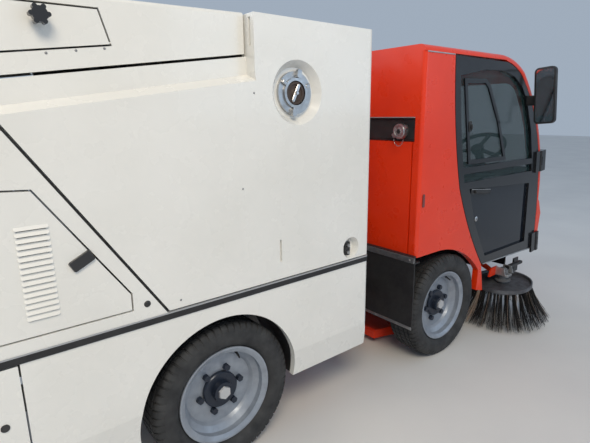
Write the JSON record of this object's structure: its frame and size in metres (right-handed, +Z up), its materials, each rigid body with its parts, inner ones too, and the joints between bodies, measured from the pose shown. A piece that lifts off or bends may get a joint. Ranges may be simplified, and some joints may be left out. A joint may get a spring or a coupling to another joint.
{
  "type": "compact street sweeper truck",
  "caption": "Compact street sweeper with tilting hopper, hinged doors and lid, steered front wheels and two swinging side brushes.",
  "frame": {"origin": "on the ground, midway along the overall length and width", "axes": "+X the direction of travel, +Y the left side, +Z up"},
  "size_m": [3.98, 2.1154, 1.9349],
  "materials": {
    "white_paint": "gloss white paint",
    "orange_paint": "gloss orange-red paint",
    "rim_paint": "light grey paint",
    "chassis_paint": "semi-gloss black paint",
    "tyre_rubber": "matte black rubber",
    "trim_rubber": "matte black rubber",
    "black_plastic": "grained black plastic",
    "lamp_lens": "clear and coloured lens",
    "window_glass": "green tinted glass",
    "bare_steel": "bare machined steel",
    "aluminium_cast": "cast aluminium",
    "seat_cover": "black woven cover",
    "bristle_steel": "dark stiff bristles",
    "engine_iron": "painted iron"
  },
  "bodies": {
    "chassis": {"frame": "chassis_paint", "rear_axle": "chassis_paint", "front_axle": "chassis_paint", "engine": "engine_iron", "engine_housing": "white_paint", "skirts": "white_paint", "arch_liners": "black_plastic", "belt_trims": "trim_rubber", "rear_panel": "white_paint", "lamps": "lamp_lens", "cab_sides": "orange_paint", "cab_rear_wall": "orange_paint", "cab_roof": "orange_paint", "cab_front": "orange_paint", "windscreen": "window_glass", "cab_floor": "black_plastic", "seats": "seat_cover", "dashboard": "black_plastic", "steering_wheel": "black_plastic", "mud_plates": "trim_rubber", "fill_coupling": "aluminium_cast", "suction_duct": "black_plastic", "filter_canister": "chassis_paint", "door_hinges": "chassis_paint"},
    "hopper": {"hopper": "white_paint", "hopper_tray": "white_paint", "hose_coupling": "aluminium_cast"},
    "hopper_lid": {"hopper_lid": "white_paint"},
    "lift_barrels": {"lift_barrels": "chassis_paint"},
    "lift_rods": {"lift_rods": "bare_steel"},
    "suction_mouth": {"suction_mouth": "orange_paint"},
    "tie_rod": {"tie_rod": "chassis_paint"},
    "lid_flap_right": {"lid_flap_right": "white_paint"},
    "engine_door_right": {"engine_door_right": "white_paint"},
    "lower_door_right": {"lower_door_right": "white_paint"},
    "cab_door_right": {"cab_door_right": "chassis_paint", "door_glass_right": "window_glass", "mirror_right": "black_plastic"},
    "knuckle_right": {"knuckle_right": "chassis_paint"},
    "front_wheel_right": {"front_tyre_right": "tyre_rubber", "front_rim_right": "rim_paint"},
    "rear_wheel_right": {"rear_tyre_right": "tyre_rubber", "rear_rim_right": "rim_paint"},
    "brush_turret_right": {"brush_turret_right": "chassis_paint"},
    "brush_arm_right": {"brush_arm_right": "chassis_paint"},
    "side_brush_right": {"side_brush_right": "bristle_steel"},
    "lid_flap_left": {"lid_flap_left": "white_paint"},
    "engine_door_left": {"engine_door_left": "white_paint"},
    "lower_door_left": {"lower_door_left": "white_paint"},
    "cab_door_left": {"cab_door_left": "chassis_paint", "door_glass_left": "window_glass", "mirror_left": "black_plastic"},
    "knuckle_left": {"knuckle_left": "chassis_paint"},
    "front_wheel_left": {"front_tyre_left": "tyre_rubber", "front_rim_left": "rim_paint"},
    "rear_wheel_left": {"rear_tyre_left": "tyre_rubber", "rear_rim_left": "rim_paint"},
    "brush_turret_left": {"brush_turret_left": "chassis_paint"},
    "brush_arm_left": {"brush_arm_left": "chassis_paint"},
    "side_brush_left": {"side_brush_left": "bristle_steel"}
  },
  "joints": [
    {"name": "hopper_tilt", "type": "hinge", "parent": "chassis", "child": "hopper", "pos_m": [-1.92, 0, 1.47], "axis": [0, -1, 0], "range_deg": [0, 80]},
    {"name": "lid_hinge", "type": "hinge", "parent": "hopper", "child": "hopper_lid", "pos_m": [-0.708, 0, 1.928], "axis": [0, 1, 0], "range_deg": [0, 60]},
    {"name": "lift_barrel_swing", "type": "hinge", "parent": "chassis", "child": "lift_barrels", "pos_m": [-1.47, 0, 0.6], "axis": [0, -1, 0], "range_deg": [0, 5]},
    {"name": "lift_rod_slide", "type": "slide", "parent": "lift_barrels", "child": "lift_rods", "axis": [-0.1799, 0, 0.9837], "range_m": [0, 0.3766]},
    {"name": "mouth_lift", "type": "slide", "parent": "chassis", "child": "suction_mouth", "axis": [0, 0, 1], "range_m": [0, 0.08]},
    {"name": "steer_right", "type": "hinge", "parent": "chassis", "child": "knuckle_right", "pos_m": [0.692, -0.629, 0.332], "axis": [0, 0, 1], "range_deg": [-35, 35]},
    {"name": "steer_left", "type": "hinge", "parent": "chassis", "child": "knuckle_left", "pos_m": [0.692, 0.629, 0.332], "axis": [0, 0, 1], "range_deg": [-35, 35]},
    {"name": "tie_rod_pin", "type": "hinge", "parent": "knuckle_right", "child": "tie_rod", "pos_m": [0.567, -0.629, 0.271], "axis": [0, 0, 1], "range_deg": [-35, 35]},
    {"name": "lid_flap_hinge_right", "type": "hinge", "parent": "hopper_lid", "child": "lid_flap_right", "pos_m": [-1.218, -0.686, 1.76805], "axis": [0.9911, 0, 0.1331], "range_deg": [0, 115]},
    {"name": "engine_door_hinge_right", "type": "hinge", "parent": "chassis", "child": "engine_door_right", "pos_m": [-1.886, -0.742, 1.1], "axis": [0, 0, -1], "range_deg": [0, 100]},
    {"name": "lower_door_hinge_right", "type": "hinge", "parent": "chassis", "child": "lower_door_right", "pos_m": [-1.923, -0.758, 0.61], "axis": [0, 0, -1], "range_deg": [0, 100]},
    {"name": "cab_door_hinge_right", "type": "hinge", "parent": "chassis", "child": "cab_door_right", "pos_m": [1.824, -0.782, 0.865], "axis": [-0.1052, 0, 0.9945], "range_deg": [0, 75]},
    {"name": "front_wheel_spin_right", "type": "hinge", "parent": "knuckle_right", "child": "front_wheel_right", "pos_m": [0.692, -0.69, 0.332], "axis": [0, 1, 0], "continuous": true},
    {"name": "rear_wheel_spin_right", "type": "hinge", "parent": "chassis", "child": "rear_wheel_right", "pos_m": [-0.87, -0.64, 0.332], "axis": [0, 1, 0], "continuous": true},
    {"name": "brush_swing_right", "type": "hinge", "parent": "chassis", "child": "brush_turret_right", "pos_m": [1.475, -0.407, 0.436], "axis": [0, 0, -1], "range_deg": [-12, 15]},
    {"name": "brush_lift_right", "type": "hinge", "parent": "brush_turret_right", "child": "brush_arm_right", "pos_m": [1.475, -0.467, 0.436], "axis": [-1, 0, 0], "range_deg": [0, 10]},
    {"name": "brush_spin_right", "type": "hinge", "parent": "brush_arm_right", "child": "side_brush_right", "pos_m": [1.475, -0.74, 0.29], "axis": [-0.0872, 0, 0.9962], "continuous": true},
    {"name": "lid_flap_hinge_left", "type": "hinge", "parent": "hopper_lid", "child": "lid_flap_left", "pos_m": [-1.218, 0.686, 1.76805], "axis": [-0.9911, 0, -0.1331], "range_deg": [0, 115]},
    {"name": "engine_door_hinge_left", "type": "hinge", "parent": "chassis", "child": "engine_door_left", "pos_m": [-1.886, 0.742, 1.1], "axis": [0, 0, 1], "range_deg": [0, 100]},
    {"name": "lower_door_hinge_left", "type": "hinge", "parent": "chassis", "child": "lower_door_left", "pos_m": [-1.923, 0.758, 0.61], "axis": [0, 0, 1], "range_deg": [0, 100]},
    {"name": "cab_door_hinge_left", "type": "hinge", "parent": "chassis", "child": "cab_door_left", "pos_m": [1.824, 0.782, 0.865], "axis": [0.1052, 0, -0.9945], "range_deg": [0, 75]},
    {"name": "front_wheel_spin_left", "type": "hinge", "parent": "knuckle_left", "child": "front_wheel_left", "pos_m": [0.692, 0.69, 0.332], "axis": [0, 1, 0], "continuous": true},
    {"name": "rear_wheel_spin_left", "type": "hinge", "parent": "chassis", "child": "rear_wheel_left", "pos_m": [-0.87, 0.64, 0.332], "axis": [0, 1, 0], "continuous": true},
    {"name": "brush_swing_left", "type": "hinge", "parent": "chassis", "child": "brush_turret_left", "pos_m": [1.475, 0.407, 0.436], "axis": [0, 0, 1], "range_deg": [-12, 15]},
    {"name": "brush_lift_left", "type": "hinge", "parent": "brush_turret_left", "child": "brush_arm_left", "pos_m": [1.475, 0.467, 0.436], "axis": [1, 0, 0], "range_deg": [0, 10]},
    {"name": "brush_spin_left", "type": "hinge", "parent": "brush_arm_left", "child": "side_brush_left", "pos_m": [1.475, 0.74, 0.29], "axis": [-0.0872, 0, 0.9962], "continuous": true}
  ],
  "couplings": [
    {"joint": "lift_barrel_swing", "follows": "hopper_tilt", "ratio": 0.06},
    {"joint": "lift_rod_slide", "follows": "hopper_tilt", "m_per_rad": 0.2683},
    {"joint": "steer_left", "follows": "steer_right", "ratio": 1},
    {"joint": "tie_rod_pin", "follows": "steer_right", "ratio": -1}
  ]
}
